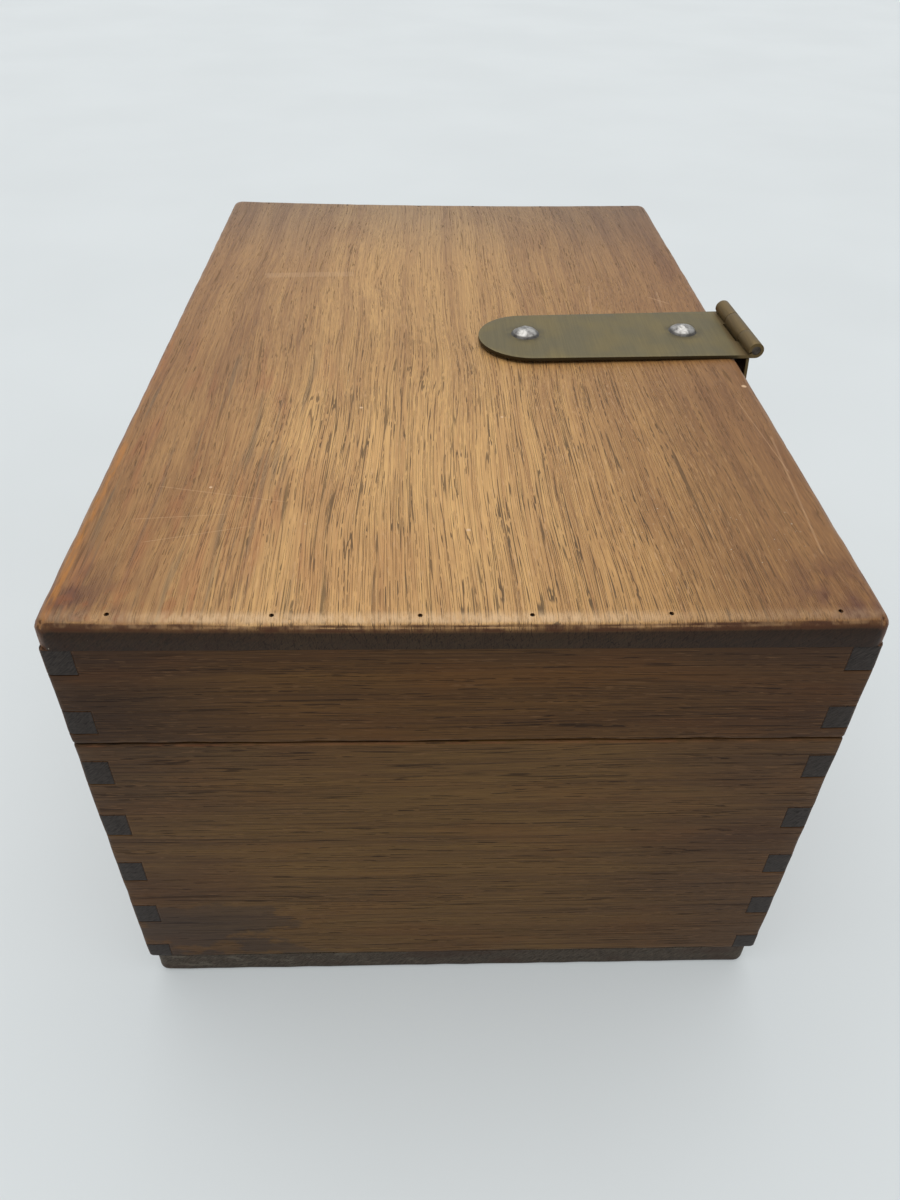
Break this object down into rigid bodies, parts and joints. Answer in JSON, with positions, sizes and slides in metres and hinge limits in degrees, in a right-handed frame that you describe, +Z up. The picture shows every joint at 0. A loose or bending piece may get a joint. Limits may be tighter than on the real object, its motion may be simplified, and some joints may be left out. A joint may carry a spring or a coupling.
{
  "type": "microscope case",
  "caption": "Finger-jointed wooden microscope case with a hinged lid, a riveted brass hasp over a turn button, and felt-lined cradles inside.",
  "frame": {"origin": "centre of the base's underside", "axes": "+X along the case's length, -Y towards the front with the hasp, +Z up"},
  "size_m": [0.3818, 0.2619, 0.1956],
  "materials": {
    "wood": "worn, oiled teak-brown wood, satin",
    "base_wood": "darker wood, dull and scuffed",
    "cradle_wood": "plain planed wood, unpolished",
    "felt": "green wool felt",
    "brass": "aged olive-brown brass, satin, brighter at the edges",
    "steel": "dark, dull",
    "rivet_metal": "hammered, bright on top"
  },
  "bodies": {
    "case": {"base_board": "base_wood", "body_front_board": "wood", "body_back_board": "wood", "body_left_end": "wood", "body_right_end": "wood", "base_screws": "steel", "catch_plate": "brass", "catch_screws": "brass", "left_hinge_body_leaf": "brass", "left_hinge_pin": "steel", "right_hinge_body_leaf": "brass", "right_hinge_pin": "steel", "hinge_body_screws": "brass", "tube_cradle": "cradle_wood", "tube_cradle_felt": "felt", "foot_cradle": "cradle_wood", "foot_cradle_felt": "felt"},
    "lid": {"lid_top_board": "wood", "lid_front_rail": "wood", "lid_back_rail": "wood", "lid_left_end": "wood", "lid_right_end": "wood", "lid_top_pins": "steel", "hasp_strap": "brass", "hasp_pin": "steel", "hasp_rivets": "rivet_metal", "rivet_washers": "rivet_metal", "left_hinge_lid_leaf": "brass", "right_hinge_lid_leaf": "brass", "hinge_lid_screws": "brass"},
    "flap": {"hasp_flap": "brass"},
    "button": {"turn_button": "brass"}
  },
  "joints": [
    {"name": "lid_hinge", "type": "hinge", "parent": "case", "child": "lid", "pos_m": [0, 0.1255, 0.1387], "axis": [-1, 0, 0], "range_deg": [0, 180]},
    {"name": "flap_hinge", "type": "hinge", "parent": "lid", "child": "flap", "pos_m": [0.0027, -0.1282, 0.1923], "axis": [-0.9984, -0.0558, 0], "range_deg": [-3.9, 260]},
    {"name": "button_turn", "type": "hinge", "parent": "case", "child": "button", "pos_m": [0.00252, -0.1225, 0.1183], "axis": [0, -1, 0], "range_deg": [0, 90]}
  ]
}
